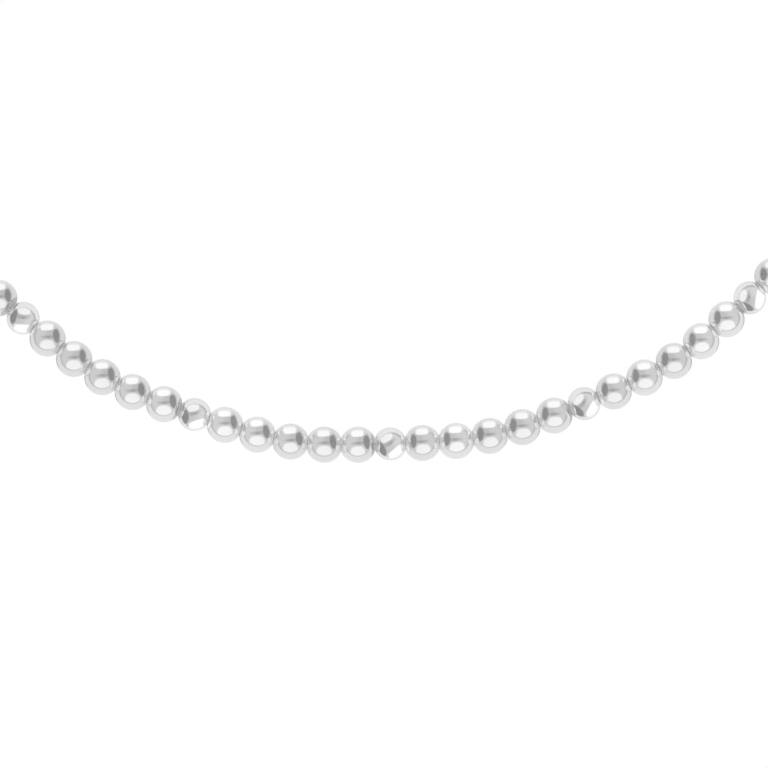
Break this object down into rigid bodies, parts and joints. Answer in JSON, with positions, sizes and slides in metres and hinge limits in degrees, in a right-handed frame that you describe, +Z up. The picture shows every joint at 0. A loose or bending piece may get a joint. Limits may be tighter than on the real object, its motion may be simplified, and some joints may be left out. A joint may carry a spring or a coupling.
{
  "type": "faux pearl necklace",
  "caption": "Single strand of round faux pearls with slightly smaller accent beads at regular steps, on a thread closed by a plain barrel clasp, in the form it takes when worn.",
  "frame": {"origin": "the clasp's face towards the neck, at the middle of the nape, where the strand sits", "axes": "+Z up, -Y towards the front of the wearer, X across the strand, with the half that the picture shows on the right at +X"},
  "size_m": [0.1549, 0.1073, 0.1275],
  "materials": {
    "pearl": "pale silvery pearl lacquer, glossy",
    "accent_bead": "slightly whiter pearl lacquer, glossier",
    "thread": "twisted beading thread, undyed",
    "clasp_metal": "plain silver-coloured plating"
  },
  "bodies": {
    "root": {"pearls_left": "pearl", "pearls_right": "pearl", "accent_bead_01": "accent_bead", "accent_bead_02": "accent_bead", "accent_bead_03": "accent_bead", "accent_bead_04": "accent_bead", "accent_bead_05": "accent_bead", "accent_bead_06": "accent_bead", "accent_bead_07": "accent_bead", "accent_bead_08": "accent_bead", "accent_bead_09": "accent_bead", "accent_bead_10": "accent_bead", "accent_bead_11": "accent_bead", "accent_bead_12": "accent_bead", "accent_bead_13": "accent_bead", "accent_bead_14": "accent_bead", "accent_bead_15": "accent_bead", "accent_bead_16": "accent_bead", "accent_bead_17": "accent_bead", "thread": "thread", "clasp": "clasp_metal"}
  },
  "joints": []
}
